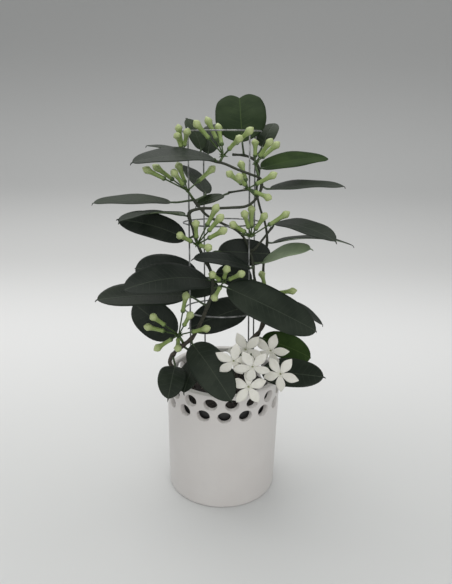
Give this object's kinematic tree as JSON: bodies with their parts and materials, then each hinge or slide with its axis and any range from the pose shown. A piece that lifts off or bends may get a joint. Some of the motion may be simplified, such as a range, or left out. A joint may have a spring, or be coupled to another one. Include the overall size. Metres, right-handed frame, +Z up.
{
  "type": "potted madagascar jasmine",
  "caption": "Climbing jasmine with waxy leaves, buds and white star flowers, trained round a wire frame in a round ceramic cover pot pierced below its rim.",
  "frame": {"origin": "centre of the cover pot's foot, on the surface it stands on", "axes": "+Z up along the pot's axis, -Y towards the viewer, +X to the viewer's right"},
  "size_m": [0.3015, 0.1913, 0.4682],
  "materials": {
    "white_ceramic": "satin",
    "black_plastic": "matte",
    "soil": "matte",
    "steel_wire": "satin",
    "bark": "matte",
    "green_stem": "satin",
    "dark_leaf": "satin",
    "young_leaf": "satin",
    "pale_leaf": "satin",
    "bud_green": "satin",
    "petal_white": "satin"
  },
  "bodies": {
    "root": {"buds_behind_right": "bud_green", "buds_lower_left": "bud_green", "buds_middle_front": "bud_green", "buds_middle_left": "bud_green", "buds_middle_right": "bud_green", "buds_top_front": "bud_green", "buds_top_left": "bud_green", "buds_top_right": "bud_green", "buds_upper_left": "bud_green", "buds_upper_right": "bud_green", "flower_1": "petal_white", "flower_2": "petal_white", "flower_3": "petal_white", "flower_4": "petal_white", "flower_5": "petal_white", "flower_6": "petal_white", "flower_stalks": "green_stem", "leaf_centre_behind": "dark_leaf", "leaf_centre_dark": "dark_leaf", "leaf_centre_low": "dark_leaf", "leaf_centre_pair": "dark_leaf", "leaf_crown_back": "dark_leaf", "leaf_crown_front": "young_leaf", "leaf_crown_left": "dark_leaf", "leaf_crown_right": "dark_leaf", "leaf_front_hanging": "dark_leaf", "leaf_left_behind": "dark_leaf", "leaf_left_big": "dark_leaf", "leaf_left_dark": "dark_leaf", "leaf_left_grey": "dark_leaf", "leaf_left_inner": "dark_leaf", "leaf_left_low": "dark_leaf", "leaf_left_top": "dark_leaf", "leaf_left_top_back": "dark_leaf", "leaf_left_umbel": "dark_leaf", "leaf_left_upper": "dark_leaf", "leaf_right_behind": "dark_leaf", "leaf_right_big": "dark_leaf", "leaf_right_far": "dark_leaf", "leaf_right_green": "young_leaf", "leaf_right_middle": "dark_leaf", "leaf_right_pale": "pale_leaf", "leaf_right_rim": "dark_leaf", "leaf_right_top": "young_leaf", "leaf_right_upper": "dark_leaf", "leaf_rim_left": "dark_leaf", "leaf_rim_left_grey": "dark_leaf", "leaf_small_back": "dark_leaf", "leaf_small_twisted": "dark_leaf", "nursery_pot": "black_plastic", "pot": "white_ceramic", "shoot_right": "green_stem", "shoot_upper": "green_stem", "soil": "soil", "vine_back": "green_stem", "vine_centre": "green_stem", "vine_left": "bark", "wire_frame": "steel_wire"}
  },
  "joints": []
}
